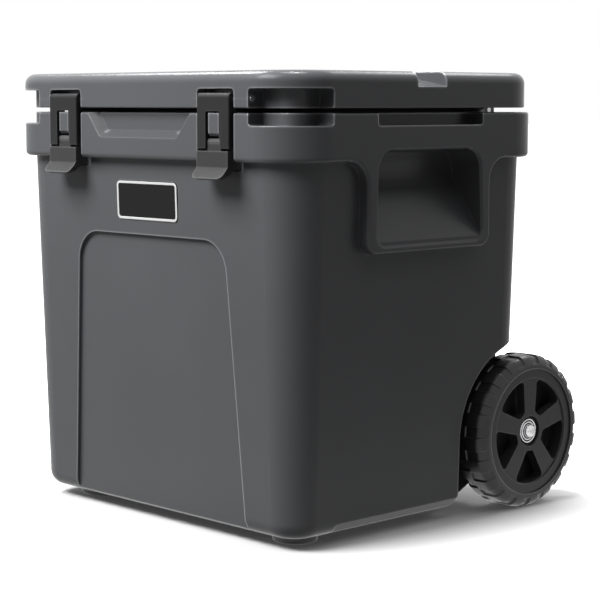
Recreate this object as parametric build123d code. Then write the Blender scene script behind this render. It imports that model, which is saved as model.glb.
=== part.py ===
"""Wheeled hard cooler: foam-filled moulded body and lid, two lever latches, two wheels, a pull-out handle.

Millimetres. +X is the user's right when facing the front, -Y is the front with the latches, +Z is up.
Pieces are drawn about the middle of the body, and moved so that the origin is under the whole footprint.
"""
from build123d import *
from math import asin, atan, cos, degrees, radians, sin, tan
import os

os.makedirs("parts", exist_ok=True)

# Body and rim
overall_height = 510
rim_width = 500
rim_depth = 412
rim_corner = 58
rim_height = 51.5
rim_edge_round = 5
wall_inset = 12.5
wall_draft = 1.66
ground_clearance = 12
base_corner = 34
base_edge_round = 18
skin = 5
tub_wall = 64
mouth_corner = 40
cavity_draft = 2.0
cavity_floor = 70
cavity_floor_round = 24
cavity_floor_corner = 30
rear_ramp_run = 77
rear_ramp_slope = 26
cut_over = 30
bore_over = 1

# Front of the body
panel_drop = 85.5
panel_foot_half = 152
panel_head_half = 127
panel_corner = 36
panel_sink = 4.5
badge_width = 106
badge_height = 44
badge_corner = 6
badge_drop = 47
badge_thick = 2.5
badge_sink = 1.5
badge_gap = 0.2
scoop_top_half = 90.5
scoop_floor_half = 67.5
scoop_drop = 28
scoop_sink = 10
scoop_flare = 40
scoop_corner = 9

# Front corner recesses, which run through rim and lid
corner_recess_wide = 67
corner_recess_long = 59.5
corner_recess_deep = 21
corner_recess_round = 16
corner_recess_drop = 13.1
recess_edge_round = 3.5

# Side hand pockets and the finger notch above each
side_middle = 4.5
pocket_half = 81
pocket_spread = 4
pocket_lift = 11.3
pocket_high = 98.3
pocket_deep = 46
pocket_back = 28
pocket_back_round = 55
pocket_floor_in = 2
pocket_foot_over = 1
pocket_roof_round = 8
pocket_corner = 22
pocket_foot_corner = 12
pocket_edge = 2.5
pocket_edge_slope = 45
frame_half = 99
frame_lip = 12
frame_root = 40
frame_corner = 15
frame_flare = 26
frame_edge_round = 4
notch_half = 84.5
notch_drop = 13.5
notch_deep = 18
notch_corner = 3.5
lift_start = 88
lift_high = 26.5
lift_wide = 22.5
lift_overhang = 1.5
well_foot_round = 12

# Wheels and axle
axle_in = 19
wheel_radius = 90.5
tyre_width = 48
wheel_in_from_side = 27
well_deep = 60
well_gap = 17
axle_radius = 7
axle_beam_radius = 24
axle_beam_root = 60
hub_radius = 74
hub_lip = 11
hub_side_gap = 2
hub_boss_radius = 21
hub_boss_sink = 9
hub_face_sink = 1.5
hub_web = 12
hub_back = 4
hub_back_sink = 24
spoke_count = 5
spoke_near_half = 9
spoke_far_half = 12
window_near = 24
window_round = 5
window_lip = 1
lug_count = 20
lug_deep = 2.2
lug_gap = 12
lug_outer = 26
lug_turn = 0.73
lug_stagger = 0.5
tyre_shoulder = 3
bush_wall = 4
washer_radius = 15
washer_thick = 2
washer_edge = 0.8
washer_room = 3
nut_radius = 8.5
nut_rim = 4
nut_dome = 4
nut_dome_round = 6
stud_radius = 5
run_fit = 0.05
side_play = 0.3

# Front feet and fill plugs
foot_radius = 25
foot_edge = 3
foot_inset = 78
foot_screw_radius = 3
foot_screw_head = 5.5
foot_screw_bite = 16
foot_sunk = 5
foot_head_high = 3
plug_radius = 12
plug_y = -60

# Lid
lid_thick = 39.5
lid_gap = 5
lid_short = 8
lid_edge_round = 12
lid_foot_round = 2
lid_plug_gap = 4
lid_plug_deep = 24
strap_groove_half = 23
strap_groove_deep = 16.5
strap_groove_run = 90
lid_notch_deep = 12
lid_notch_gap = 1
gasket_wide = 9
gasket_inset = 12
gasket_corner = 44
gasket_gap = 0.3

# Lid hinges
hinge_in = 1
knuckle_radius = 9
knuckle_gap = 0.6
knuckle_root = 12
knuckle_web_drop = 44
hinge_pin_radius = 3
hinge_from_notch = 4
knuckle_long = 15

# Latches
latch_inset = 118.4
slot_width = 58.2
slot_deep = 14
slot_below = 10
slot_rise = 20.5
slot_round = 4
keeper_width = 17
keeper_high = 24.5
keeper_reach = 2.5
keeper_slope = 3
keeper_root = 2
strap_width = 51
strap_thick = 11
strap_reach = 4
strap_drop = 37.5
strap_pin_in = 6
strap_pin_show = 1
strap_pin_rise = 10
strap_pin_radius = 3
strap_barrel = 6.5
strap_top_round = 5.5
strap_edge_round = 1.2
pin_bite = 8
window_width = 23
window_below_pin = 13.2
window_round_top = 3
lever_pin_in = 2
lever_pin_rise = 7
lever_pin_radius = 2.5
lever_pin_short = 1
lever_knuckle = 3.8
lever_width = 50
lever_tongue_width = 21
lever_tongue_root = 2
lever_tongue_thin = 0.4
lever_below_strap = 2.5
lever_face = 17.1
lever_tab = 11.9
lever_thick = 8
lever_reach = 5
lever_back_step = 4
tab_flare = 10
tab_thick = 5
tab_rake = 1.5
tab_corner = 8

# Pull-out handle
handle_x = 82
outer_tube_radius = 10
mid_tube_radius = 8
inner_tube_radius = 6.2
outer_tube_foot = 128
outer_tube_drop = 29.5
tube_step = 5
grip_drop = 1.5
grip_high = 21
grip_deep = 20
grip_end = 16
grip_round = 6
grip_socket = 12
rim_notch_half = 110
rim_notch_deep = 11.5
bracket_foot_low = 120
bracket_foot_high = 36
bracket_head_above = 2
bracket_head_high = 18
bracket_wall = 5
bracket_in = 4
bracket_screw_x = 48
bracket_root = 40
boss_wall = 6
screw_radius = 2.5
screw_head = 4.5
screw_bite = 14
screw_head_high = 3

# Levels and reaches that follow from the sizes above
lid_bottom = overall_height - lid_thick
rim_top = lid_bottom - lid_gap
rim_bottom = rim_top - rim_height
rim_front = -rim_depth / 2
rim_rear = rim_depth / 2
rim_side = rim_width / 2
mouth_width = rim_width - 2 * tub_wall
mouth_depth = rim_depth - 2 * tub_wall
wall_front = rim_front + wall_inset
wall_side = rim_side - wall_inset
wall_rear = rim_rear - wall_inset
wall_lean = tan(radians(wall_draft))
base_shrink = (rim_bottom - ground_clearance) * wall_lean
base_width = rim_width - 2 * wall_inset - 2 * base_shrink
base_depth = rim_depth - 2 * wall_inset - 2 * base_shrink
badge_middle = rim_bottom - badge_drop
scoop_floor = rim_top - scoop_drop
corner_recess_x = rim_side - corner_recess_wide
corner_recess_y = rim_front + corner_recess_long
corner_recess_floor = rim_top - corner_recess_drop
pocket_top = rim_bottom + pocket_lift
pocket_bottom = pocket_top - pocket_high
pocket_slope = (pocket_deep - pocket_floor_in) / (pocket_high - pocket_back)
frame_bottom = pocket_bottom - frame_lip
notch_floor = rim_top - notch_drop
axle_y = rim_rear - axle_in
axle_z = wheel_radius
wheel_middle_x = rim_side - wheel_in_from_side
well_wall_x = rim_side - well_deep
well_front = axle_y - wheel_radius - well_gap
foot_x = rim_side - foot_inset
foot_y = rim_front + foot_inset
lid_rear = rim_rear - lid_short
hinge_y = rim_rear - hinge_in
hinge_z = rim_top + lid_gap / 2
hinge_near_x = rim_notch_half + hinge_from_notch
hinge_far_x = hinge_near_x + 3 * knuckle_long + 2 * knuckle_gap
latch_x = rim_side - latch_inset
slot_foot = rim_bottom - slot_below
slot_roof = lid_bottom + slot_rise
keeper_foot = rim_top - keeper_high
strap_foot = rim_top - strap_drop
strap_pin_y = rim_front + strap_pin_in
strap_pin_z = lid_bottom + strap_pin_rise
window_top = strap_pin_z - window_below_pin
lever_pin_y = rim_front + lever_pin_in
lever_pin_z = strap_foot + lever_pin_rise
lever_top = strap_foot - lever_below_strap
lever_bend = lever_top - lever_face
lever_foot = lever_bend - lever_tab
handle_y = rim_rear
outer_tube_head = rim_top - outer_tube_drop
grip_head = rim_top - grip_drop
grip_foot = grip_head - grip_high
rim_notch_y = rim_rear - rim_notch_deep
bracket_plate = rim_rear - bracket_in
bracket_head_low = rim_bottom + bracket_head_above
tab_front = rim_front - lever_reach - tab_flare
rear_reach = axle_y + wheel_radius
origin_shift = Pos(0, -(tab_front + rear_reach) / 2, 0)


def save(node, shape):
    export_step(origin_shift * shape, f"parts/{node}.step")


def slab(width, depth, corner, low, high, taper=0.0, middle_y=0.0):
    """An upright block with rounded corners; a negative taper widens it upwards."""
    outline = Pos(0, middle_y, low) * RectangleRounded(width, depth, corner)
    return extrude(outline, high - low, taper=taper)


def block(x_low, x_high, y_low, y_high, z_low, z_high):
    size = (x_high - x_low, y_high - y_low, z_high - z_low)
    centre = ((x_low + x_high) / 2, (y_low + y_high) / 2, (z_low + z_high) / 2)
    return Pos(*centre) * Box(*size)


def rod_x(radius, x_low, x_high, y, z):
    return Pos((x_low + x_high) / 2, y, z) * Rot(0, 90, 0) * Cylinder(radius, x_high - x_low)


def rod_z(radius, z_low, z_high, x, y):
    return Pos(x, y, (z_low + z_high) / 2) * Cylinder(radius, z_high - z_low)


def along_x(sketch_yz, x_low, x_high):
    """Extrude a sketch drawn in (y, z) from one x to another."""
    return Pos(x_low, 0, 0) * extrude(Plane.YZ * sketch_yz, x_high - x_low, dir=(1, 0, 0))


def along_y(sketch_xz, y_low, y_high):
    """Extrude a sketch drawn in (x, z) from one y to another."""
    return Pos(0, y_low, 0) * extrude(Plane.XZ * sketch_xz, y_high - y_low, dir=(0, 1, 0))


def mirror_x(shape):
    return mirror(shape, about=Plane.YZ)


def both_sides(shape):
    return shape + mirror_x(shape)


# Shapes cut from the body, each grown by a margin where the foam has to stay clear of them
def wheel_well(grow=0.0):
    """The arch over a wheel, open behind and below, with the body's heel rounded in front of it."""
    radius = wheel_radius + well_gap + grow
    below = Pos(axle_y + radius, axle_z / 2 - radius) * Rectangle(4 * radius, axle_z + 2 * radius)
    heel_y = well_front - grow
    heel_z = ground_clearance + grow
    heel_round = well_foot_round - grow
    heel = Pos(heel_y - heel_round / 2, heel_z + heel_round / 2) * Rectangle(heel_round, heel_round)
    heel -= Pos(heel_y - heel_round, heel_z + heel_round) * Circle(heel_round)
    arch = Pos(axle_y, axle_z) * Circle(radius) + below + heel
    return along_x(arch, well_wall_x - grow, rim_side + cut_over)


def rear_ramp(grow=0.0):
    """Clears the underside behind the tub, rising to the rear."""
    low = ground_clearance + grow / cos(radians(rear_ramp_slope))
    start = axle_y - rear_ramp_run
    end = rim_rear + cut_over
    rise = (end - start) * tan(radians(rear_ramp_slope))
    ramp = Polygon((start, low), (start, low - cut_over), (end, low - cut_over), (end, low + rise),
                   align=None)
    return along_x(ramp, -rim_side, rim_side)


def pocket_mouth(grow, foot):
    """The pocket's outline on the side wall, narrower at its rounded top."""
    top = pocket_top + grow
    high_half = pocket_half + grow
    low_half = high_half + pocket_spread
    mouth = Polygon((-high_half, top), (-low_half, foot), (low_half, foot), (high_half, top), align=None)
    mouth = fillet(mouth.vertices().group_by(Axis.Y)[-1], pocket_corner + grow)
    return fillet(mouth.vertices().group_by(Axis.Y)[0], pocket_foot_corner + grow)


def hand_pocket(grow=0.0):
    """A pocket whose sloping floor curves up into its back."""
    out = rim_side + cut_over
    back = rim_side - pocket_deep - grow
    top = pocket_top + grow
    low = pocket_bottom - grow / sin(atan(pocket_slope))
    edge = rim_side - pocket_floor_in
    knee = low + (edge - back) / pocket_slope
    spill = low - (out - edge) / pocket_slope
    wedge = Polygon((out, top), (back, top), (back, knee), (edge, low), (out, spill), align=None)
    wedge = fillet(wedge.vertices().sort_by(Axis.X)[:2].sort_by(Axis.Y)[:1], pocket_back_round + grow)
    wedge = fillet(wedge.vertices().sort_by(Axis.X)[:2].sort_by(Axis.Y)[-1:], pocket_roof_round + grow)
    reach = pocket_half + pocket_spread + 2 * grow + bore_over
    deep = along_y(wedge, side_middle - reach, side_middle + reach)
    mouth = pocket_mouth(grow, low - pocket_floor_in / pocket_slope - pocket_foot_over)
    return deep & along_x(Pos(side_middle, 0) * mouth, back - bore_over, out + bore_over)


def pocket_lip():
    """A sloping edge round the pocket's mouth."""
    face = Plane((rim_side, 0, 0), x_dir=(0, -1, 0), z_dir=(-1, 0, 0))
    outline = pocket_mouth(pocket_edge, pocket_bottom - pocket_floor_in / pocket_slope - pocket_edge)
    return extrude(face * Pos(-side_middle, 0) * outline, pocket_edge, taper=pocket_edge_slope)


def side_notch(grow=0.0):
    high = notch_drop + grow + cut_over
    outline = RectangleRounded(2 * (notch_half + grow), high, notch_corner)
    notch = Pos(side_middle, notch_floor - grow + high / 2) * outline
    return along_x(notch, rim_side - notch_deep - grow, rim_side + cut_over)


def latch_slot(low, high, grow=0.0):
    outline = Pos(latch_x, (low + high) / 2) * RectangleRounded(slot_width + 2 * grow, high - low, slot_round)
    return along_y(outline, rim_front - cut_over, rim_front + slot_deep + grow)


def corner_recess(low, high, grow=0.0):
    corner = block(corner_recess_x - grow, rim_side + cut_over, rim_front - cut_over, corner_recess_y + grow,
                   low, high)
    corner = fillet(corner.edges().filter_by(Axis.Z, reverse=True), recess_edge_round)
    inside = 2 * (corner_recess_deep + grow)
    core = slab(rim_width - inside, rim_depth - inside, corner_recess_round - grow,
                low - bore_over, high + bore_over)
    return corner - core


def finger_scoop(grow=0.0):
    """A shallow dish in the rim's front face with flared sides and floor."""
    over = rim_top + cut_over
    outline = Polygon((-scoop_top_half - grow, over), (-scoop_top_half - grow, rim_top),
                      (-scoop_floor_half - grow, scoop_floor - grow),
                      (scoop_floor_half + grow, scoop_floor - grow),
                      (scoop_top_half + grow, rim_top), (scoop_top_half + grow, over), align=None)
    outline = fillet(outline.vertices().group_by(Axis.Y)[0], scoop_corner)
    face = Plane((0, rim_front, 0), x_dir=(-1, 0, 0), z_dir=(0, 1, 0))
    return extrude(face * outline, scoop_sink + grow, taper=scoop_flare) + extrude(face * outline, -cut_over)


def front_panel(grow=0.0):
    """The sunk arch panel, drawn on the leaning front wall with its own height above the rim's underside."""
    wall = Plane((0, wall_front, rim_bottom), x_dir=(1, 0, 0),
                 z_dir=(0, -cos(radians(wall_draft)), -sin(radians(wall_draft))))
    head = grow - panel_drop
    outline = Polygon((-panel_foot_half - grow, -rim_bottom), (panel_foot_half + grow, -rim_bottom),
                      (panel_head_half + grow, head), (-panel_head_half - grow, head), align=None)
    outline = fillet(outline.vertices().group_by(Axis.Y)[-1], panel_corner + grow)
    return extrude(wall * outline, -panel_sink - grow) + extrude(wall * outline, cut_over)


def badge_seat(thick, sink, grow=0.0):
    depth = badge_drop * wall_lean
    seat = Plane((0, wall_front + depth, badge_middle), x_dir=(1, 0, 0),
                 z_dir=(0, -cos(radians(wall_draft)), -sin(radians(wall_draft))))
    outline = RectangleRounded(badge_width + 2 * grow, badge_height + 2 * grow, badge_corner)
    return extrude(seat.offset(-sink) * outline, thick)


def handle_notch(grow=0.0):
    half = rim_notch_half + grow
    return block(-half, half, rim_notch_y - grow, rim_rear + cut_over,
                 rim_bottom - cut_over, rim_top + cut_over)


def knuckle_spans(kind):
    """The x spans of one hinge's knuckles: two on the body with one of the lid's between them."""
    step = knuckle_long + knuckle_gap
    starts = {"body": (0, 2 * step), "lid": (step,)}[kind]
    return [(hinge_near_x + s, hinge_near_x + s + knuckle_long) for s in starts]


def knuckles(kind, radius, spread=0.0):
    rods = [rod_x(radius, low - spread, high + spread, hinge_y, hinge_z) for low, high in knuckle_spans(kind)]
    return Part() + rods


def cavity(grow=0.0):
    rise = rim_top - cavity_floor
    shrink = 2 * rise * tan(radians(cavity_draft))
    tub = slab(mouth_width - shrink + 2 * grow, mouth_depth - shrink + 2 * grow, cavity_floor_corner + grow,
               cavity_floor - grow, rim_top + cut_over, -cavity_draft)
    floor_edges = tub.edges().group_by(Axis.Z)[0]
    return fillet(floor_edges, cavity_floor_round + grow)


def foot_screws(radius, extra=0.0):
    top = ground_clearance + foot_screw_bite + extra
    return Part() + [rod_z(radius, foot_sunk, top, x, foot_y) for x in (-foot_x, foot_x)]


def bracket_screws(radius, extra=0.0):
    """Screws along Y through the handle brackets into bosses behind the rear skin."""
    rods = []
    for z in (bracket_foot_low + bracket_foot_high / 2, bracket_head_low + bracket_head_high / 2):
        inner = min(wall_rear - (rim_bottom - z) * wall_lean, rim_notch_y) - screw_bite - extra
        for x in (-bracket_screw_x, bracket_screw_x):
            rod = Rot(90, 0, 0) * Cylinder(radius, bracket_plate - inner)
            rods.append(Pos(x, (inner + bracket_plate) / 2, z) * rod)
    return Part() + rods


# Body shell: leaning walls, a proud rim, pocket frames and the axle beam, then the cuts
walls = slab(base_width, base_depth, base_corner, ground_clearance, rim_top, -wall_draft)
walls = fillet(walls.edges().group_by(Axis.Z)[0], base_edge_round) - rear_ramp()
rim = slab(rim_width, rim_depth, rim_corner, rim_bottom, rim_top)
rim = fillet(rim.edges().group_by(Axis.Z)[0], rim_edge_round)
rim = fillet(rim.edges().group_by(Axis.Z)[-1], rim_edge_round / 2)
frame_high = pocket_top + rim_edge_round - frame_bottom
frame_face = Pos(0, frame_bottom + frame_high / 2) * Rectangle(2 * frame_half, frame_high)
frame_face = fillet(frame_face.vertices().group_by(Axis.Y)[0], frame_corner)
flare = Pos(frame_half + frame_flare / 2, rim_bottom - frame_flare / 2) * Rectangle(frame_flare, frame_flare)
flare -= Pos(frame_half + frame_flare, rim_bottom - frame_flare) * Circle(frame_flare)
flare = flare + mirror(flare, about=Plane.YZ)
lip = Pos(0, rim_bottom + rim_edge_round / 2) * Rectangle(2 * (frame_half + frame_flare), rim_edge_round)
pocket_frame = along_x(Pos(side_middle, 0) * (frame_face + flare + lip), wall_side - frame_root, rim_side)
frame_edges = pocket_frame.edges().filter_by_position(Axis.X, rim_side - run_fit, rim_side + run_fit)
frame_edges = frame_edges.filter_by(lambda edge: edge.center().Z < rim_bottom)
pocket_frame = fillet(frame_edges, frame_edge_round)
beam_face = Pos(axle_y, axle_z) * Circle(axle_beam_radius)
beam_face += Pos(axle_y - axle_beam_root / 2, axle_z) * Rectangle(axle_beam_root, 2 * axle_beam_radius)
axle_beam = along_x(beam_face, -well_wall_x, well_wall_x)
outer = walls + rim + both_sides(pocket_frame) + axle_beam
lift_side = Polygon((0, 0), (lift_wide, 0), (lift_wide, lift_high), align=None)
lift_x = base_width / 2 - lift_wide + lift_overhang
lift_cut = along_y(Pos(lift_x, 0) * lift_side, rim_front + lift_start, well_front)
lid_knuckle_room = both_sides(knuckles("lid", knuckle_radius + knuckle_gap, knuckle_gap / 2))
knuckle_web = [block(low, high, wall_rear - skin, hinge_y + knuckle_radius,
                     hinge_z - knuckle_web_drop, hinge_z)
               for low, high in knuckle_spans("body")]
body_knuckles = both_sides(knuckles("body", knuckle_radius) + knuckle_web)
hinge_bore = rod_x(hinge_pin_radius + run_fit, hinge_near_x - bore_over, hinge_far_x + bore_over,
                   hinge_y, hinge_z)
keeper_back = rim_front + slot_deep + keeper_root
keeper_front = rim_front - keeper_reach
keeper_side = Polygon((keeper_back, keeper_foot), (keeper_front + keeper_slope, keeper_foot),
                      (keeper_front, keeper_foot + keeper_slope), (keeper_front, rim_top),
                      (keeper_back, rim_top), align=None)
keeper = along_x(keeper_side, latch_x - keeper_width / 2, latch_x + keeper_width / 2)
axle_bore = rod_x(axle_radius + run_fit, -well_wall_x - bore_over, well_wall_x + bore_over,
                  axle_y, axle_z)

body_cuts = [both_sides(wheel_well()), both_sides(hand_pocket()), both_sides(pocket_lip()),
             both_sides(side_notch()),
             both_sides(latch_slot(slot_foot, rim_top + cut_over)),
             both_sides(corner_recess(corner_recess_floor, rim_top + cut_over)),
             finger_scoop(), front_panel(), handle_notch(), both_sides(lift_cut), lid_knuckle_room]
outer = outer - body_cuts
outer = outer + both_sides(keeper) + body_knuckles
outer = outer - [both_sides(hinge_bore), axle_bore, cavity(), badge_seat(cut_over, badge_sink)]

foam = slab(base_width - 2 * skin, base_depth - 2 * skin, base_corner - skin,
            ground_clearance + skin, rim_top - skin, -wall_draft)
foam = fillet(foam.edges().group_by(Axis.Z)[0], base_edge_round - skin)
rim_foam_in = 2 * skin + rim_edge_round
foam = foam + slab(rim_width - rim_foam_in, rim_depth - rim_foam_in, rim_corner - skin,
                   rim_bottom + skin, rim_top - skin)
foam_cuts = [both_sides(wheel_well(skin)), both_sides(hand_pocket(skin)), both_sides(side_notch(skin)),
             both_sides(latch_slot(slot_foot - skin, rim_top + cut_over, skin)),
             both_sides(corner_recess(corner_recess_floor - skin, rim_top + cut_over, skin)),
             finger_scoop(skin), front_panel(skin), handle_notch(skin), cavity(skin), rear_ramp(skin),
             both_sides(Pos(-skin, 0, skin) * lift_cut),
             both_sides(rod_x(knuckle_radius + knuckle_gap + skin, hinge_near_x - skin, hinge_far_x + skin,
                              hinge_y, hinge_z)),
             rod_x(axle_radius + skin, -rim_side, rim_side, axle_y, axle_z),
             foot_screws(foot_screw_radius + boss_wall, boss_wall),
             bracket_screws(screw_radius + boss_wall, boss_wall)]
foam = foam - foam_cuts
plug_hole = rod_z(plug_radius + run_fit, ground_clearance - bore_over, ground_clearance + skin, 0, plug_y)
body_shell = outer - [foam, plug_hole, foot_screws(foot_screw_radius), bracket_screws(screw_radius)]
save("body_shell", body_shell)
save("body_insulation", foam)
save("body_fill_plug", rod_z(plug_radius, ground_clearance, ground_clearance + skin, 0, plug_y))
save("badge_plate", badge_seat(badge_thick, badge_sink, -badge_gap))

# Front feet: screwed discs with a rounded tread edge and a sunk screw head
foot = Cylinder(foot_radius, ground_clearance, align=(Align.CENTER, Align.CENTER, Align.MIN))
foot = fillet(foot.edges().group_by(Axis.Z)[0], foot_edge)
foot -= Pos(0, 0, ground_clearance / 2) * Cylinder(foot_screw_radius + run_fit, ground_clearance)
foot -= Pos(0, 0, foot_sunk / 2) * Cylinder(foot_screw_head + run_fit, foot_sunk)
for side, x in (("left", -foot_x), ("right", foot_x)):
    save(f"front_foot_{side}", Pos(x, foot_y, 0) * foot)
foot_heads = [rod_z(foot_screw_head, foot_sunk - foot_head_high, foot_sunk, x, foot_y)
              for x in (-foot_x, foot_x)]
save("foot_screws", foot_screws(foot_screw_radius) + foot_heads)

# Axle with a threaded stud at each end, spacer collars, washers and domed nuts
wheel_in = wheel_middle_x - tyre_width / 2
wheel_out = wheel_middle_x + tyre_width / 2
boss_out = wheel_out - hub_boss_sink
washer_in = boss_out + side_play
nut_in = washer_in + washer_thick
stud_end = nut_in + nut_rim
axle = rod_x(axle_radius, -washer_in, washer_in, axle_y, axle_z)
axle += rod_x(stud_radius, -stud_end, stud_end, axle_y, axle_z)
save("axle", axle)
spacer = rod_x(washer_radius, well_wall_x, wheel_in - side_play, axle_y, axle_z) - axle
save("axle_spacers", both_sides(spacer))
washer = rod_x(washer_radius, washer_in, nut_in, axle_y, axle_z) - axle
washer_rims = washer.edges().filter_by(GeomType.CIRCLE).sort_by(Edge.length)[-2:]
washer = chamfer(washer_rims.sort_by(Axis.X)[-1:], washer_edge)
save("axle_washers", both_sides(washer))
nut = rod_x(nut_radius, nut_in, stud_end + nut_dome, axle_y, axle_z)
nut = fillet(nut.edges().filter_by(GeomType.CIRCLE).sort_by(Axis.X)[-1:], nut_dome_round)
nut -= rod_x(stud_radius + run_fit, nut_in - bore_over, stud_end, axle_y, axle_z)
save("axle_nuts", both_sides(nut))

# Wheels: a five-spoke hub on a plain bush, with a blocky tyre stretched over it
hub_out = wheel_out - hub_side_gap
rim_ring = rod_x(hub_radius, wheel_in + hub_side_gap, hub_out, axle_y, axle_z)
rim_ring -= rod_x(hub_radius - hub_lip, wheel_in, wheel_out, axle_y, axle_z)
web_out = hub_out - hub_face_sink
web = rod_x(hub_radius - hub_lip / 2, web_out - hub_web, web_out, axle_y, axle_z)
boss = rod_x(hub_boss_radius, wheel_in, boss_out, axle_y, axle_z)
pitch = 360 / spoke_count
near = window_near
far = hub_radius - hub_lip - window_lip
near_turn = pitch / 2 - degrees(asin(spoke_near_half / near))
far_turn = pitch / 2 - degrees(asin(spoke_far_half / far))


def on_circle(radius, turn):
    return (radius * cos(radians(turn)), radius * sin(radians(turn)))


window_line = [ThreePointArc(on_circle(far, -far_turn), on_circle(far, 0), on_circle(far, far_turn)),
               Line(on_circle(far, far_turn), on_circle(near, near_turn)),
               Line(on_circle(near, near_turn), on_circle(near, -near_turn)),
               Line(on_circle(near, -near_turn), on_circle(far, -far_turn))]
window = make_face(window_line)
window = fillet(window.vertices(), window_round)
windows = Sketch() + [Rot(0, 0, 90 + pitch * (n + 0.5)) * window for n in range(spoke_count)]
window_cut = along_x(Pos(axle_y, axle_z) * windows, wheel_in, wheel_out)
bush_radius = axle_radius + bush_wall
back_in = web_out - hub_back_sink
hub_back_disc = rod_x(hub_radius - hub_lip / 2, back_in, back_in + hub_back, axle_y, axle_z)
hub = rim_ring + web + boss - window_cut + hub_back_disc
hub -= rod_x(bush_radius, wheel_in - bore_over, wheel_out, axle_y, axle_z)
hub -= rod_x(washer_radius + washer_room, boss_out, wheel_out, axle_y, axle_z)
bush = rod_x(bush_radius, wheel_in, boss_out, axle_y, axle_z)
bush -= rod_x(axle_radius + run_fit, wheel_in - bore_over, wheel_out, axle_y, axle_z)
tyre_face = Rectangle(tyre_width, wheel_radius - hub_radius)
tyre_face = Pos(wheel_middle_x, (hub_radius + wheel_radius) / 2) * tyre_face
tyre_face = fillet(tyre_face.vertices().group_by(Axis.Y)[-1], tyre_shoulder)
tyre = revolve(tyre_face, Axis.X)
gaps = []
lug_inner = tyre_width - lug_outer
for middle, wide, turn in ((wheel_out - lug_outer / 2, lug_outer, lug_turn),
                           (wheel_in + lug_inner / 2, lug_inner, lug_turn - lug_stagger)):
    gap = Pos(middle, 0, wheel_radius) * Box(wide, lug_gap, 2 * lug_deep)
    gaps += [Rot(360 * (n + turn) / lug_count, 0, 0) * gap for n in range(lug_count)]
tyre = Pos(0, axle_y, axle_z) * (tyre - gaps)
for side, place in (("right", lambda shape: shape), ("left", mirror_x)):
    save(f"wheel_hub_{side}", place(hub))
    save(f"wheel_tyre_{side}", place(tyre))
    save(f"wheel_bush_{side}", place(bush))

# Lid: moulded cap with a plug below it, cut for latches, corners, tie-down grooves, handle and hinges
lid_depth = lid_rear - rim_front
lid_middle = (lid_rear + rim_front) / 2
lid_plug_foot = rim_top - lid_plug_deep


def tie_groove(grow=0.0):
    out = rim_side + cut_over
    fall = strap_groove_deep / strap_groove_run
    start = rim_side - strap_groove_run
    over = overall_height + cut_over
    ramp = Polygon((out, over), (start, over), (start, overall_height - grow),
                   (out, overall_height - (out - start) * fall - grow), align=None)
    half = strap_groove_half + grow
    return along_y(ramp, side_middle - half, side_middle + half)


def rear_notch(grow=0.0):
    half = rim_notch_half + lid_notch_gap + grow
    front = lid_rear - lid_notch_deep - grow
    return block(-half, half, front, lid_rear + cut_over, lid_bottom - bore_over, overall_height + cut_over)


def lid_plug(inset, low, high):
    gap = 2 * (lid_plug_gap + inset)
    return slab(mouth_width - gap, mouth_depth - gap, mouth_corner - lid_plug_gap - inset, low, high)


lid_cap = slab(rim_width, lid_depth, rim_corner, lid_bottom, overall_height, 0, lid_middle)
lid_cap = fillet(lid_cap.edges().group_by(Axis.Z)[-1], lid_edge_round)
lid_cap = fillet(lid_cap.edges().group_by(Axis.Z)[0], lid_foot_round)
strap_pin_end = latch_x - slot_width / 2 - pin_bite
strap_bore = rod_x(strap_pin_radius + run_fit, strap_pin_end, rim_side, strap_pin_y, strap_pin_z)
lid_outer = lid_cap - [both_sides(latch_slot(lid_bottom - cut_over, slot_roof)),
                       both_sides(corner_recess(lid_bottom - cut_over, slot_roof)),
                       both_sides(tie_groove()), rear_notch(), both_sides(strap_bore),
                       both_sides(knuckles("body", knuckle_radius + knuckle_gap, knuckle_gap / 2))]
lid_web = [block(low, high, lid_rear - knuckle_root, hinge_y,
                 lid_bottom, hinge_z + knuckle_radius - knuckle_gap)
           for low, high in knuckle_spans("lid")]
lid_outer = lid_outer + both_sides(knuckles("lid", knuckle_radius) + lid_web)
lid_outer = lid_outer + lid_plug(0, lid_plug_foot, lid_bottom)
lid_outer = lid_outer - both_sides(hinge_bore)
lid_foam = slab(rim_width - 2 * skin, lid_depth - 2 * skin, rim_corner - skin, lid_bottom + skin,
                overall_height - skin, 0, lid_middle)
lid_foam = fillet(lid_foam.edges().group_by(Axis.Z)[-1], lid_edge_round - skin)
lid_foam = lid_foam + lid_plug(skin, lid_plug_foot + skin, lid_bottom + skin)
lid_foam = lid_foam - [both_sides(latch_slot(lid_bottom - cut_over, slot_roof + skin, skin)),
                       both_sides(corner_recess(lid_bottom - cut_over, slot_roof + skin, skin)),
                       both_sides(tie_groove(skin)), rear_notch(skin),
                       both_sides(rod_x(strap_pin_radius + skin, strap_pin_end - skin, rim_side,
                                        strap_pin_y, strap_pin_z)),
                       both_sides(rod_x(knuckle_radius + knuckle_gap + skin, hinge_near_x - skin,
                                        hinge_far_x + skin, hinge_y, hinge_z))]
lid_plug_hole = rod_z(plug_radius + run_fit, lid_plug_foot - bore_over, lid_plug_foot + skin, 0, 0)
save("lid_shell", lid_outer - [lid_foam, lid_plug_hole])
save("lid_insulation", lid_foam)
save("lid_fill_plug", rod_z(plug_radius, lid_plug_foot, lid_plug_foot + skin, 0, 0))
gasket_hole = 2 * gasket_inset
gasket_size = gasket_hole + 2 * gasket_wide
gasket = slab(mouth_width + gasket_size, mouth_depth + gasket_size, gasket_corner,
              rim_top + gasket_gap, lid_bottom)
gasket -= slab(mouth_width + gasket_hole, mouth_depth + gasket_hole, gasket_corner - gasket_wide,
               rim_top, lid_bottom + bore_over)
save("lid_gasket", gasket)
hinge_pin = rod_x(hinge_pin_radius, hinge_near_x, hinge_far_x, hinge_y, hinge_z)
latch_pin = rod_x(strap_pin_radius, strap_pin_end, corner_recess_x + strap_pin_show, strap_pin_y, strap_pin_z)

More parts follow.
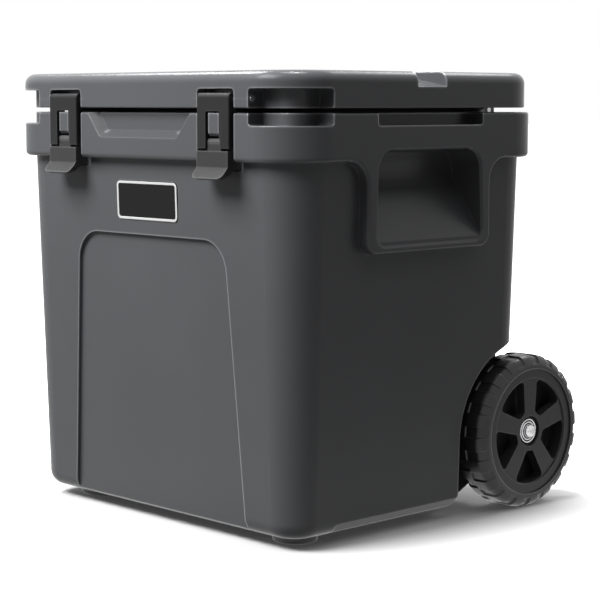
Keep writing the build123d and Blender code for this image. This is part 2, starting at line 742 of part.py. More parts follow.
# Latches: a forked strap hung from the lid, and a lever that turns on a bar across the fork
strap_front = rim_front - strap_reach
strap_back = strap_front + strap_thick
strap_top = strap_pin_z + strap_barrel
strap_side = Polygon((strap_front, strap_foot), (strap_back, strap_foot), (strap_back, strap_pin_z),
                     (strap_pin_y, strap_top), (strap_front, strap_top), align=None)
strap_side = fillet(strap_side.vertices().group_by(Axis.Y)[-1].sort_by(Axis.X)[:1], strap_top_round)
strap_side += Pos(strap_pin_y, strap_pin_z) * Circle(strap_barrel)
strap = along_x(strap_side, latch_x - strap_width / 2, latch_x + strap_width / 2)
strap_half = strap_width / 2
strap_rims = strap.edges().filter_by(lambda edge: abs(abs(edge.center().X - latch_x) - strap_half) < run_fit)
strap_rims = strap_rims.filter_by(lambda edge: edge.center().Y < strap_front + strap_top_round / 2)
strap = fillet(strap_rims, strap_edge_round)
window_high = 2 * (window_top - strap_foot)
window_face = RectangleRounded(window_width, window_high, window_round_top)
window_face = Pos(latch_x, window_top - window_high / 2) * window_face
strap -= along_y(window_face, strap_front - bore_over, strap_back + strap_barrel)
strap -= strap_bore
lever_bar_half = strap_width / 2 - lever_pin_short
lever_bar = rod_x(lever_pin_radius, latch_x - lever_bar_half, latch_x + lever_bar_half,
                  lever_pin_y, lever_pin_z)
lever_bore = rod_x(lever_pin_radius + run_fit, latch_x - lever_bar_half, latch_x + lever_bar_half,
                   lever_pin_y, lever_pin_z)
lever_front = rim_front - lever_reach
lever_back = lever_front + lever_thick
tab_tip = lever_front - tab_flare
lever_side = Polygon((lever_front, lever_top), (lever_front, lever_bend), (tab_tip, lever_foot),
                     (tab_tip + tab_thick, lever_foot - tab_rake), (lever_back, lever_bend - lever_back_step),
                     (lever_back, lever_top), align=None)
lever = along_x(lever_side, latch_x - lever_width / 2, latch_x + lever_width / 2)
tab_ends = lever.edges().filter_by(Axis.X, reverse=True).group_by(Axis.Z)[0]
lever = fillet(tab_ends, tab_corner)
tongue_side = Pos(lever_pin_y, lever_pin_z) * Circle(lever_knuckle)
tongue_low = lever_top - lever_tongue_root
tongue_web = Rectangle(2 * lever_knuckle - lever_tongue_thin, lever_pin_z - tongue_low)
tongue_side += Pos(lever_pin_y, (lever_pin_z + tongue_low) / 2) * tongue_web
lever += along_x(tongue_side, latch_x - lever_tongue_width / 2, latch_x + lever_tongue_width / 2)
lever -= lever_bore
strap -= lever_bore
for side, place in (("right", lambda shape: shape), ("left", mirror_x)):
    save(f"hinge_pin_{side}", place(hinge_pin))
    save(f"latch_pin_{side}", place(latch_pin))
    save(f"latch_strap_{side}", place(strap))
    save(f"latch_lever_pin_{side}", place(lever_bar))
    save(f"latch_lever_{side}", place(lever))

# Pull-out handle: two telescoping legs in brackets on the rear wall, and a grip across the top
mid_foot = outer_tube_foot + tube_step
mid_head = outer_tube_head + tube_step
inner_foot = mid_foot + tube_step
outer_tube = rod_z(outer_tube_radius, outer_tube_foot, outer_tube_head, handle_x, handle_y)
outer_tube -= rod_z(mid_tube_radius + run_fit, outer_tube_foot - bore_over, outer_tube_head + bore_over,
                    handle_x, handle_y)
mid_tube = rod_z(mid_tube_radius, mid_foot, mid_head, handle_x, handle_y)
mid_tube -= rod_z(inner_tube_radius + run_fit, mid_foot - bore_over, mid_head + bore_over, handle_x, handle_y)
inner_tube = rod_z(inner_tube_radius, inner_foot, grip_foot + grip_socket, handle_x, handle_y)
for side, place in (("right", lambda shape: shape), ("left", mirror_x)):
    save(f"handle_outer_tube_{side}", place(outer_tube))
    save(f"handle_mid_tube_{side}", place(mid_tube))
    save(f"handle_inner_tube_{side}", place(inner_tube))
grip = extrude(SlotOverall(2 * (handle_x + grip_end), grip_deep), grip_head - grip_foot)
grip = Pos(0, handle_y, grip_foot) * grip
grip = fillet(grip.edges().group_by(Axis.Z)[0] + grip.edges().group_by(Axis.Z)[-1], grip_round)
save("handle_grip", grip - both_sides(inner_tube))


def bracket(low, high, solid_tube):
    boss = rod_z(outer_tube_radius + bracket_wall, low, high, handle_x, handle_y)
    arm = block(-handle_x, handle_x, wall_rear - bracket_root, bracket_plate, low, high)
    arm += both_sides(boss + block(handle_x - outer_tube_radius, handle_x + outer_tube_radius,
                                   wall_rear - bracket_root, handle_y, low, high))
    return arm - both_sides(solid_tube) - outer - bracket_screws(screw_radius + run_fit)


solid_tube = rod_z(outer_tube_radius, outer_tube_foot, outer_tube_head, handle_x, handle_y)
lower_bracket = bracket(bracket_foot_low, bracket_foot_low + bracket_foot_high, solid_tube)
upper_bracket = bracket(bracket_head_low, bracket_head_low + bracket_head_high, solid_tube)
save("handle_lower_bracket", lower_bracket.solids().sort_by(Axis.Y)[-1])
save("handle_upper_bracket", upper_bracket.solids().sort_by(Axis.Y)[-1])
heads = []
for z in (bracket_foot_low + bracket_foot_high / 2, bracket_head_low + bracket_head_high / 2):
    for x in (-bracket_screw_x, bracket_screw_x):
        head = Rot(90, 0, 0) * Cylinder(screw_head, screw_head_high)
        heads.append(Pos(x, bracket_plate + screw_head_high / 2, z) * head)
save("handle_screws", bracket_screws(screw_radius) + heads)
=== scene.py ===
import math

import bmesh
import bpy
import numpy as np
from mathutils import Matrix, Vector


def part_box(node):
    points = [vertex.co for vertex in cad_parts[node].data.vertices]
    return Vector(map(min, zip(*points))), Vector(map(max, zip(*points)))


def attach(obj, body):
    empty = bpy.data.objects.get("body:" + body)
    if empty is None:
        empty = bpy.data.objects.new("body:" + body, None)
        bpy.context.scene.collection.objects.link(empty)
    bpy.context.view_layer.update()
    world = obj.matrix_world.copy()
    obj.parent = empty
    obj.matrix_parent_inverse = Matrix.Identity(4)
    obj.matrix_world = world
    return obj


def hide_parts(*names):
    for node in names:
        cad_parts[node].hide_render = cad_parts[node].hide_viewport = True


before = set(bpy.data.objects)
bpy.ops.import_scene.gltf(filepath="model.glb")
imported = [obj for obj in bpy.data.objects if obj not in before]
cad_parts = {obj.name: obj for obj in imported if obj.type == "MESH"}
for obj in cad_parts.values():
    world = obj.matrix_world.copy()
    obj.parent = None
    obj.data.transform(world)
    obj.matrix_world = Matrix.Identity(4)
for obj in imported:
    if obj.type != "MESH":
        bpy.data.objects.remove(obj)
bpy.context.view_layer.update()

# Body shell: the tub, one hollow charcoal polyethylene moulding with a fine
# pebbled skin from its mould. Every other piece is fixed to it or moves on it.


def put(tree, kind, sockets=None, **settings):
    """One shader node with its settings made and its sockets set or joined."""
    node = tree.nodes.new(kind)
    for name, value in settings.items():
        setattr(node, name, value)
    for name, value in (sockets or {}).items():
        if isinstance(value, bpy.types.NodeSocket):
            tree.links.new(value, node.inputs[name])
        else:
            node.inputs[name].default_value = value
    return node


def effect_group(name, inputs, outputs):
    """An empty shader group with a Place vector, named number inputs and named number outputs."""
    group = bpy.data.node_groups.new(name, "ShaderNodeTree")
    group.interface.new_socket("Place", in_out="INPUT", socket_type="NodeSocketVector")
    for socket, value in inputs.items():
        made = group.interface.new_socket(socket, in_out="INPUT", socket_type="NodeSocketFloat")
        made.default_value = value
    for socket in outputs:
        group.interface.new_socket(socket, in_out="OUTPUT", socket_type="NodeSocketFloat")
    return group, group.nodes.new("NodeGroupInput"), group.nodes.new("NodeGroupOutput")


def build_mould_skin():
    """Mould skin: fine noise makes pebbles, broad noise makes faint clouds in the colour."""
    group, given, made = effect_group(
        "mould_skin", {"Pebbles": 900.0, "Clouds": 7.0}, ("Cloud", "Gloss", "Height"))
    pebble = put(group, "ShaderNodeTexNoise", {
        "Vector": given.outputs["Place"], "Scale": given.outputs["Pebbles"],
        "Detail": 2.0, "Roughness": 0.6})
    cloud = put(group, "ShaderNodeTexNoise", {
        "Vector": given.outputs["Place"], "Scale": given.outputs["Clouds"],
        "Detail": 5.0, "Roughness": 0.55})
    gloss = put(group, "ShaderNodeMapRange", {
        "Value": cloud.outputs["Fac"], "From Min": 0.2, "From Max": 0.8,
        "To Min": -0.04, "To Max": 0.04}, clamp=False)
    group.links.new(cloud.outputs["Fac"], made.inputs["Cloud"])
    group.links.new(gloss.outputs["Result"], made.inputs["Gloss"])
    group.links.new(pebble.outputs["Fac"], made.inputs["Height"])
    return group


mould_skin = build_mould_skin()


def moulded(name, dark, light, rough, pebbles, depth, edge, edge_highlight_and_gloss=0.3, shine=0.16):
    """Moulded plastic or rubber: clouded colour, pebbled bump, and edges that are rounded in the
    shading, glossier, and painted pale as a painted highlight where the piece ends close beneath its
    own face."""
    mat = bpy.data.materials.new(name)
    mat.use_nodes = True
    tree = mat.node_tree
    shader = tree.nodes["Principled BSDF"]
    shader.inputs["Specular IOR Level"].default_value = shine
    shader.inputs["Coat Roughness"].default_value = 0.15
    place = put(tree, "ShaderNodeTexCoord")
    skin = put(tree, "ShaderNodeGroup", {
        "Place": place.outputs["Object"], "Pebbles": pebbles}, node_tree=mould_skin)
    colour = put(tree, "ShaderNodeMix", {
        "Factor": skin.outputs["Cloud"], "A": (*dark, 1), "B": (*light, 1)}, data_type="RGBA")
    gloss = put(tree, "ShaderNodeMath", {0: skin.outputs["Gloss"], 1: rough}, operation="ADD")
    soft_edge = put(tree, "ShaderNodeBevel", {"Radius": edge}, samples=6)
    beneath = put(tree, "ShaderNodeAmbientOcclusion", {"Distance": 2 * edge},
                  samples=12, inside=True, only_local=True)
    edge_highlight_gloss_mask = put(tree, "ShaderNodeMapRange", {
        "Value": beneath.outputs["AO"], "From Min": 0.88, "From Max": 0.52,
        "To Min": 0.0, "To Max": edge_highlight_and_gloss})
    # Painted highlight: the edge mask paints the colour pale as a bright edge line; the same mask adds
    # a coat and lowers the roughness.
    highlight_gain, highlight_lift, rub_polish = 2.2, 0.01, -0.3
    edge_highlight_colour = [min(1.0, highlight_gain * part + highlight_lift) for part in light]
    highlighted_colour = put(tree, "ShaderNodeMix", {
        "Factor": edge_highlight_gloss_mask.outputs["Result"], "A": colour.outputs["Result"], "B": (*edge_highlight_colour, 1)},
        data_type="RGBA")
    rubbed_gloss = put(tree, "ShaderNodeMath", {
        0: edge_highlight_gloss_mask.outputs["Result"], 1: rub_polish, 2: gloss.outputs["Value"]},
        operation="MULTIPLY_ADD")
    bump = put(tree, "ShaderNodeBump", {
        "Strength": 0.35, "Distance": depth, "Height": skin.outputs["Height"],
        "Normal": soft_edge.outputs["Normal"]})
    tree.links.new(edge_highlight_gloss_mask.outputs["Result"], shader.inputs["Coat Weight"])
    tree.links.new(soft_edge.outputs["Normal"], shader.inputs["Coat Normal"])
    tree.links.new(highlighted_colour.outputs["Result"], shader.inputs["Base Color"])
    tree.links.new(rubbed_gloss.outputs["Value"], shader.inputs["Roughness"])
    tree.links.new(bump.outputs["Normal"], shader.inputs["Normal"])
    return mat


def dress(mat, *names):
    """Gives CAD nodes their finish."""
    for name in names:
        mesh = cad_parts[name].data
        mesh.materials.clear()
        mesh.materials.append(mat)


charcoal = moulded("charcoal_moulding", dark=(0.086, 0.088, 0.093), light=(0.104, 0.106, 0.112),
                   rough=0.21, pebbles=1300, depth=0.0003, edge=0.0016, edge_highlight_and_gloss=1.0)
dress(charcoal, "body_shell", "body_fill_plug", "lid_fill_plug")

# Foam cores: closed-cell foam poured into the walls through the filling holes,
# pale yellow and finely porous, hidden once the plugs are in.
foam = moulded("poured_foam", dark=(0.56, 0.48, 0.27), light=(0.70, 0.63, 0.40),
               rough=0.85, pebbles=500, depth=0.001, edge=0.001)
dress(foam, "body_insulation", "lid_insulation")

# Badge: a small bare black plate let into the front wall, with a narrow pale
# raised border as the photograph shows.
badge_black = moulded("badge_black", dark=(0.004, 0.004, 0.004), light=(0.008, 0.008, 0.008),
                      rough=0.55, pebbles=1500, depth=0.0002, edge=0.0006)
dress(badge_black, "badge_plate")


def mesh_from_grid(name, points):
    """A quad mesh over a grid of points that closes on itself in both directions."""
    rows, cols = points.shape[:2]
    u, v = np.meshgrid(np.arange(rows), np.arange(cols), indexing="ij")
    u_next, v_next = (u + 1) % rows, (v + 1) % cols
    faces = np.stack([u * cols + v, u_next * cols + v,
                      u_next * cols + v_next, u * cols + v_next], axis=-1)
    mesh = bpy.data.meshes.new(name)
    mesh.from_pydata(points.reshape(-1, 3).tolist(), [], faces.reshape(-1, 4).tolist())
    skin = bmesh.new()
    skin.from_mesh(mesh)
    bmesh.ops.recalc_face_normals(skin, faces=skin.faces)
    skin.to_mesh(mesh)
    skin.free()
    return mesh


def fit_piece(name, mesh, mat, body):
    """A new piece at the origin with its finish, riding on a body."""
    piece = bpy.data.objects.new(name, mesh)
    bpy.context.scene.collection.objects.link(piece)
    mesh.materials.append(mat)
    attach(piece, body)
    return piece


def border_points(half_wide, half_high, corner, profile, middle, across, up, out):
    """A border: each profile step goes inwards by its first number and out from the plate by its
    second, and is carried round a rectangle with round corners, whose arcs keep their centres."""
    arc_steps = 9
    turn = np.concatenate([np.linspace(q * 90, q * 90 + 90, arc_steps) for q in range(4)])
    quadrant = np.repeat(np.arange(4), arc_steps)
    sign_x = np.array([1, -1, -1, 1])[quadrant]
    sign_y = np.array([1, 1, -1, -1])[quadrant]
    centre_x = sign_x * (half_wide - corner)
    centre_y = sign_y * (half_high - corner)
    inward, height = profile[:, 0], profile[:, 1]
    reach = corner - inward[None, :]
    flat_x = centre_x[:, None] + reach * np.cos(np.radians(turn))[:, None]
    flat_y = centre_y[:, None] + reach * np.sin(np.radians(turn))[:, None]
    on_plate = middle + flat_x[..., None] * across + flat_y[..., None] * up
    return on_plate + height[None, :, None] * out


wall_lean = math.radians(1.66)
badge_thick, badge_corner = 0.0025, 0.006
badge_low, badge_high = (np.array(corner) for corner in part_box("badge_plate"))
badge_out = np.array([0.0, -math.cos(wall_lean), -math.sin(wall_lean)])
badge_up = np.array([0.0, -math.sin(wall_lean), math.cos(wall_lean)])
badge_across = np.array([1.0, 0.0, 0.0])
badge_face = (badge_low + badge_high) / 2 + badge_out * badge_thick / 2
badge_half_wide = (badge_high[0] - badge_low[0]) / 2
badge_slant = badge_thick * math.tan(wall_lean) / 2
badge_half_high = (badge_high[2] - badge_low[2]) / 2 / math.cos(wall_lean) - badge_slant
border_wide, border_high, border_inset = 0.0030, 0.0005, 0.0002
border_round, border_sink = 0.0004, -0.0004
border_flank = 0.6 * border_high
border_profile = np.array([
    [border_inset, border_sink], [border_inset, border_flank],
    [border_inset + border_round, border_high], [border_wide - border_round, border_high],
    [border_wide, border_flank], [border_wide, border_sink]])
border_grid = border_points(badge_half_wide, badge_half_high, badge_corner, border_profile,
                            badge_face, badge_across, badge_up, badge_out)
border_mesh = mesh_from_grid("badge_border", border_grid)
border_pale = moulded("badge_border", dark=(0.62, 0.62, 0.62), light=(0.74, 0.74, 0.74),
                      rough=0.4, pebbles=1500, depth=0.0001, edge=0.0003)
fit_piece("badge_border", border_mesh, border_pale, "body")

# Front feet: round grey non-slip rubber pads under the front corners, each
# held by screws from below.
foot_rubber = moulded("foot_rubber", dark=(0.50, 0.505, 0.51), light=(0.62, 0.625, 0.63),
                      rough=0.40, pebbles=1400, depth=0.0004, edge=0.001)
dress(foot_rubber, "front_foot_left", "front_foot_right")

# Axle, its collars and all the screws: turned steel with fine lathe lines
# round it, duller than the nuts at the axle's ends.


def build_tool_marks():
    """Tool marks: noise stretched along one direction of the piece makes fine lines and smears."""
    group, given, made = effect_group("tool_marks", {"Lines": 900.0}, ("Smear", "Height"))
    fine = put(group, "ShaderNodeTexNoise", {
        "Vector": given.outputs["Place"], "Scale": given.outputs["Lines"], "Detail": 3.0})
    broad = put(group, "ShaderNodeTexNoise", {
        "Vector": given.outputs["Place"], "Scale": 40.0, "Detail": 4.0})
    group.links.new(broad.outputs["Fac"], made.inputs["Smear"])
    group.links.new(fine.outputs["Fac"], made.inputs["Height"])
    return group


tool_marks = build_tool_marks()


def worked_metal(name, dark, light, rough, stretch, depth, edge):
    """Worked metal: lines stretched along the tool's way, smears in colour and gloss."""
    mat = bpy.data.materials.new(name)
    mat.use_nodes = True
    tree = mat.node_tree
    shader = tree.nodes["Principled BSDF"]
    shader.inputs["Metallic"].default_value = 1.0
    place = put(tree, "ShaderNodeTexCoord")
    along = put(tree, "ShaderNodeMapping", {"Vector": place.outputs["Object"], "Scale": stretch})
    marks = put(tree, "ShaderNodeGroup", {"Place": along.outputs["Vector"]}, node_tree=tool_marks)
    colour = put(tree, "ShaderNodeMix", {
        "Factor": marks.outputs["Smear"], "A": (*dark, 1), "B": (*light, 1)}, data_type="RGBA")
    smear_gloss = 0.08
    gloss = put(tree, "ShaderNodeMapRange", {
        "Value": marks.outputs["Smear"], "To Min": rough - smear_gloss, "To Max": rough + smear_gloss})
    soft_edge = put(tree, "ShaderNodeBevel", {"Radius": edge}, samples=6)
    bump = put(tree, "ShaderNodeBump", {
        "Strength": 0.2, "Distance": depth, "Height": marks.outputs["Height"],
        "Normal": soft_edge.outputs["Normal"]})
    tree.links.new(colour.outputs["Result"], shader.inputs["Base Color"])
    tree.links.new(gloss.outputs["Result"], shader.inputs["Roughness"])
    tree.links.new(bump.outputs["Normal"], shader.inputs["Normal"])
    return mat


lathe_stretch = (1.0, 0.12, 0.12)
steel = worked_metal("turned_steel", dark=(0.42, 0.42, 0.43), light=(0.62, 0.62, 0.63),
                     rough=0.28, stretch=lathe_stretch, depth=0.0002, edge=0.0004)
dress(steel, "axle", "axle_spacers", "foot_screws", "handle_screws")

# Axle rings: two bright round rings on a blackened washer round each domed nut,
# pressed on so that the axle's end shows them one inside the other.


def turned_points(profile, middle, outward, count):
    """A turned ring: each profile step is a radius and a height along the axle, carried round it."""
    turn = np.linspace(0, 2 * np.pi, count, endpoint=False)
    radius, height = profile[:, 0], profile[:, 1]
    x = np.broadcast_to(middle[0] + outward * height[None, :], (count, len(profile)))
    y = middle[1] + radius[None, :] * np.cos(turn)[:, None]
    z = middle[2] + radius[None, :] * np.sin(turn)[:, None]
    return np.stack([x, y, z], axis=-1)


bright_steel = worked_metal("bright_steel", dark=(0.62, 0.62, 0.63), light=(0.76, 0.76, 0.77),
                            rough=0.22, stretch=lathe_stretch, depth=0.0001, edge=0.0003)
black_steel = worked_metal("black_steel", dark=(0.030, 0.030, 0.031), light=(0.060, 0.060, 0.062),
                           rough=0.30, stretch=lathe_stretch, depth=0.0001, edge=0.0003)
dress(black_steel, "axle_washers")
dress(bright_steel, "axle_nuts")
washer_low, washer_high = (np.array(corner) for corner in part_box("axle_washers"))
washer_middle = (washer_low + washer_high) / 2
ring_half_wide, ring_sink, ring_steps = 0.0010, -0.0004, 64
round_turn = np.linspace(np.pi, 0, 7)
for ring, radius, high in (("inner", 0.0103, 0.0014), ("outer", 0.0136, 0.0012)):
    bead = np.stack([radius + ring_half_wide * np.cos(round_turn), high * np.sin(round_turn)], axis=-1)
    foot = [[radius + ring_half_wide, ring_sink], [radius - ring_half_wide, ring_sink]]
    for side, outward in (("left", -1), ("right", 1)):
        ring_middle = np.array([outward * washer_high[0], washer_middle[1], washer_middle[2]])
        ring_grid = turned_points(np.concatenate([bead, foot]), ring_middle, outward, ring_steps)
        ring_mesh = mesh_from_grid(f"axle_ring_{ring}_{side}", ring_grid)
        fit_piece(f"axle_ring_{ring}_{side}", ring_mesh, bright_steel, "body")

# Wheels: black nylon five-spoke hubs on plain bushes, with solid black rubber
# tyres. Each tyre is one surface, moulded with round shoulders and two rows of
# lugs that run over the shoulders, and it stands for the plainer CAD tyre.


def tyre_points(low, high, outward, bore, shoulder_wide, shoulder_high,
                row_edge, pitch, turn, gap_half, deep):
    """A tyre: a profile of sidewalls, round shoulders and tread goes round the axle. Tread and
    shoulders sink by a depth wherever the angle, in degrees, lies in a gap between two lugs.
    The second row of lugs, past row_edge, is turned by half a pitch."""
    wide, radius = high[0] - low[0], (high[2] - low[2]) / 2
    arc = np.radians(np.linspace(0, 90, 13))
    shoulder = np.stack([shoulder_wide * (1 - np.cos(arc)),
                         radius - shoulder_high * (1 - np.sin(arc))], axis=-1)
    sidewall = np.array([[0.0, bore], [0.0, (bore + radius - shoulder_high) / 2]])
    near = np.concatenate([sidewall, shoulder])
    far = np.stack([wide - near[::-1, 0], near[::-1, 1]], axis=-1)
    row_step = 0.0004
    flat = np.concatenate([np.linspace(shoulder_wide, row_edge - row_step, 5)[1:],
                           np.linspace(row_edge + row_step, wide - shoulder_wide, 5)[:-1]])
    tread = np.stack([flat, np.full_like(flat, radius)], axis=-1)
    profile = np.concatenate([near, tread, far])
    near_lean = np.concatenate([np.zeros(len(sidewall)), arc])
    lean = np.concatenate([near_lean, np.full(len(flat), np.pi / 2), np.pi - near_lean[::-1]])
    fade_from, fade_over, flank = 0.15, 0.25, 0.4
    fade = np.clip((np.sin(lean) - fade_from) / fade_over, 0, 1)
    angle = np.linspace(0, 360, 720, endpoint=False)
    row_turn = np.where(profile[:, 0] < row_edge, turn, turn - 0.5)
    off = (angle[:, None] / pitch - row_turn[None, :] + 0.5) % 1.0 - 0.5
    sink = deep * fade[None, :] * np.clip((gap_half - np.abs(off) * pitch) / flank + 0.5, 0, 1)
    inward = profile[None, :, 0] + sink * np.cos(lean)[None, :]
    reach = profile[None, :, 1] - sink * np.sin(lean)[None, :]
    face = high[0] if outward > 0 else low[0]
    middle = (low + high) / 2
    x = face - outward * inward
    y = middle[1] - reach * np.sin(np.radians(angle))[:, None]
    z = middle[2] + reach * np.cos(np.radians(angle))[:, None]
    return np.stack([x, y, z], axis=-1)


nylon = moulded("black_nylon", dark=(0.026, 0.026, 0.027), light=(0.037, 0.037, 0.039),
                rough=0.42, pebbles=1200, depth=0.0004, edge=0.001)
rubber = moulded("tyre_rubber", dark=(0.028, 0.028, 0.028), light=(0.044, 0.044, 0.044),
                 rough=0.30, pebbles=900, depth=0.0003, edge=0.0010, edge_highlight_and_gloss=0.8, shine=0.40)
wheel_nylon = moulded("wheel_nylon", dark=(0.050, 0.050, 0.051), light=(0.066, 0.066, 0.067),
                      rough=0.32, pebbles=1200, depth=0.0003, edge=0.001, shine=0.25)
for side, outward in (("left", -1), ("right", 1)):
    dress(wheel_nylon, f"wheel_hub_{side}")
    dress(nylon, f"wheel_bush_{side}")
    dress(rubber, f"wheel_tyre_{side}")
    tyre_low, tyre_high = (np.array(corner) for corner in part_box(f"wheel_tyre_{side}"))
    tyre_grid = tyre_points(
        tyre_low, tyre_high, outward, bore=0.074, shoulder_wide=0.012, shoulder_high=0.0135,
        row_edge=0.026, pitch=18.0, turn=0.73, gap_half=3.8, deep=0.0018)
    tyre_mesh = mesh_from_grid(f"tyre_{side}", tyre_grid)
    tyre = fit_piece(f"tyre_{side}", tyre_mesh, rubber, f"wheel_{side}")
    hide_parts(f"wheel_tyre_{side}")

# Pull handle: satin anodised aluminium tubes that slide one in the other, with
# black nylon brackets screwed to the rear wall and a nylon grip.
anodised = worked_metal("anodised_tube", dark=(0.30, 0.30, 0.31), light=(0.42, 0.42, 0.43),
                        rough=0.36, stretch=(1.0, 1.0, 0.03), depth=0.0001, edge=0.0004)
for side in ("left", "right"):
    dress(anodised, *(f"handle_{stage}_tube_{side}" for stage in ("outer", "mid", "inner")))
dress(nylon, "handle_lower_bracket", "handle_upper_bracket", "handle_grip")

# Lid: a hollow charcoal moulding like the body, with a soft black seal pressed
# under its edge and two steel hinge pins at the rear.
seal = moulded("lid_seal", dark=(0.018, 0.018, 0.018), light=(0.028, 0.028, 0.028),
               rough=0.7, pebbles=900, depth=0.0003, edge=0.0006)
dress(charcoal, "lid_shell")
dress(seal, "lid_gasket")
dress(steel, "hinge_pin_left", "hinge_pin_right")

# Latches: darker moulded nylon straps and levers that hang from steel pins
# through the lid's front edge. The straps are painted darker than the levers, as painted shade.
# Painted shade: the strap copy of the latch nylon is darker than the lever copy only because the
# straps sit in shade.
shaded_strap_nylon = moulded("shaded_strap_nylon", dark=(0.016, 0.016, 0.017), light=(0.024, 0.024, 0.025),
                      rough=0.40, pebbles=1200, depth=0.0003, edge=0.0012)
lever_nylon = moulded("lever_nylon", dark=(0.038, 0.038, 0.039), light=(0.050, 0.050, 0.051),
                      rough=0.32, pebbles=1200, depth=0.0003, edge=0.0012, edge_highlight_and_gloss=0.5)
for side in ("left", "right"):
    dress(bright_steel, f"latch_pin_{side}")
    dress(steel, f"latch_lever_pin_{side}")
    dress(shaded_strap_nylon, f"latch_strap_{side}")
    dress(lever_nylon, f"latch_lever_{side}")

# Studio: a pale floor that runs into a white background, broad soft lamps,
# and the camera where the photograph's straight edges put it.


def studio_floor(half, count):
    """A flat square grid from -half to half in x and y, at the height of the floor."""
    edge = np.linspace(-half, half, count)
    x, y = np.meshgrid(edge, edge, indexing="xy")
    points = np.stack([x, y, np.zeros_like(x)], axis=-1).reshape(-1, 3)
    row, col = np.meshgrid(np.arange(count - 1), np.arange(count - 1), indexing="ij")
    first = (row * count + col).ravel()
    faces = np.stack([first, first + 1, first + count + 1, first + count], axis=-1)
    mesh = bpy.data.meshes.new("studio_floor")
    mesh.from_pydata(points.tolist(), [], faces.tolist())
    return mesh


floor = bpy.data.objects.new("studio_floor", studio_floor(half=30.0, count=3))
bpy.context.scene.collection.objects.link(floor)
floor_paper = bpy.data.materials.new("floor_paper")
floor_paper.use_nodes = True
paper = floor_paper.node_tree
paper_shader = paper.nodes["Principled BSDF"]
paper_shader.inputs["Roughness"].default_value = 0.95
paper_shader.inputs["Specular IOR Level"].default_value = 0.0
paper_shader.inputs["Emission Color"].default_value = (1, 1, 1, 1)
ray = put(paper, "ShaderNodeLightPath")
mirrored = put(paper, "ShaderNodeMath", {
    0: ray.outputs["Is Glossy Ray"], 1: ray.outputs["Is Transmission Ray"]}, operation="MAXIMUM")
bounce_grey, seen_grey = (0.13, 0.13, 0.13, 1), (0.90, 0.90, 0.90, 1)
paper_colour = put(paper, "ShaderNodeMix", {
    "Factor": ray.outputs["Is Camera Ray"], "A": bounce_grey, "B": seen_grey}, data_type="RGBA")
paper.links.new(paper_colour.outputs["Result"], paper_shader.inputs["Base Color"])
spot = put(paper, "ShaderNodeTexCoord")
away = put(paper, "ShaderNodeVectorMath", {0: spot.outputs["Object"]}, operation="LENGTH")
far_lift = put(paper, "ShaderNodeMapRange", {
    "Value": away.outputs["Value"], "From Min": 0.27, "From Max": 0.62,
    "To Min": 0.02, "To Max": 1.0}, interpolation_type="SMOOTHSTEP")
seen_lift = put(paper, "ShaderNodeMath", {
    0: ray.outputs["Is Camera Ray"], 1: far_lift.outputs["Result"]}, operation="MULTIPLY")
# Painted reflection: for glossy and transmission rays the floor glows fully beside the object and less
# further off, so the lower faces reflect a bright floor where it lies in shade.
reflection_glow_near = put(paper, "ShaderNodeMapRange", {
    "Value": away.outputs["Value"], "From Min": 0.35, "From Max": 0.80,
    "To Min": 1.0, "To Max": 0.50})
lift = put(paper, "ShaderNodeMath", {
    0: mirrored.outputs["Value"], 1: reflection_glow_near.outputs["Result"], 2: seen_lift.outputs["Value"]},
    operation="MULTIPLY_ADD")
paper.links.new(lift.outputs["Value"], paper_shader.inputs["Emission Strength"])
floor.data.materials.append(floor_paper)

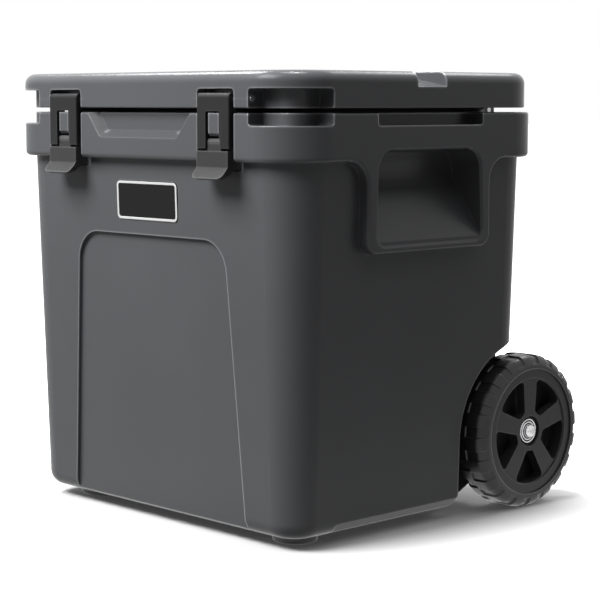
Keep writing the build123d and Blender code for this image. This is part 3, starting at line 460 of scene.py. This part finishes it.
world = bpy.data.worlds.new("studio_air")
bpy.context.scene.world = world
world.use_nodes = True
air = world.node_tree
glow = air.nodes["Background"]
glow.inputs["Color"].default_value = (1, 1, 1, 1)
look = put(air, "ShaderNodeLightPath")
reflected = put(air, "ShaderNodeMath", {
    0: look.outputs["Is Glossy Ray"], 1: look.outputs["Is Transmission Ray"]}, operation="MAXIMUM")
direct = put(air, "ShaderNodeMath", {
    0: look.outputs["Is Camera Ray"], 1: reflected.outputs["Value"]}, operation="MAXIMUM")
sky = put(air, "ShaderNodeTexCoord")
bright_way = (-0.45, 0.30, 0.80)
bright_side = put(air, "ShaderNodeVectorMath", {
    0: sky.outputs["Generated"], 1: bright_way}, operation="DOT_PRODUCT")
shade = put(air, "ShaderNodeMapRange", {
    "Value": bright_side.outputs["Value"], "From Min": -0.2, "From Max": 0.7,
    "To Min": 0.0, "To Max": 0.65}, interpolation_type="SMOOTHSTEP")
amount = put(air, "ShaderNodeMix", {
    "Factor": direct.outputs["Value"], "A": shade.outputs["Result"], "B": 1.0}, data_type="FLOAT")
air.links.new(amount.outputs["Result"], glow.inputs["Strength"])


def soft_lamp(name, place, aim, width, height, power):
    """A rectangular lamp at place that faces aim."""
    light = bpy.data.lights.new(name, "AREA")
    light.shape = "RECTANGLE"
    light.size = width
    light.size_y = height
    light.energy = power
    lamp = bpy.data.objects.new(name, light)
    bpy.context.scene.collection.objects.link(lamp)
    reach = np.array(aim) - np.array(place)
    tilt = math.atan2(math.hypot(reach[0], reach[1]), -reach[2])
    heading = math.atan2(reach[0], -reach[1]) + math.pi
    lamp.location = place
    lamp.rotation_euler = (tilt, 0, heading)


soft_lamp("key_lamp", place=(-0.32, -1.30, 1.58), aim=(0, 0, 0.42), width=1.1, height=0.9, power=45)
soft_lamp("top_lamp", place=(0.08, -0.10, 2.40), aim=(0, 0, 0.30), width=0.50, height=0.30, power=36)
soft_lamp("back_lamp", place=(-0.15, 1.60, 1.85), aim=(0, 0, 0.35), width=0.80, height=0.35, power=8)
soft_lamp("left_lamp", place=(-1.37, 0.02, 2.02), aim=(0, 0, 0.40), width=0.40, height=0.60, power=26)

photo_pixels, focal_pixels, sensor_width = 600, 1822.06, 36.0
camera_down, camera_heading = 6.1746, 46.1875
camera_data = bpy.data.cameras.new("photo_camera")
camera_data.sensor_width = sensor_width
camera_data.lens = focal_pixels * sensor_width / photo_pixels
camera = bpy.data.objects.new("photo_camera", camera_data)
bpy.context.scene.collection.objects.link(camera)
camera.location = (1.58816, -1.50755, 0.47601)
camera.rotation_euler = (math.radians(90 - camera_down), 0, math.radians(camera_heading))
bpy.context.scene.camera = camera
bpy.context.scene.view_settings.view_transform = "Standard"
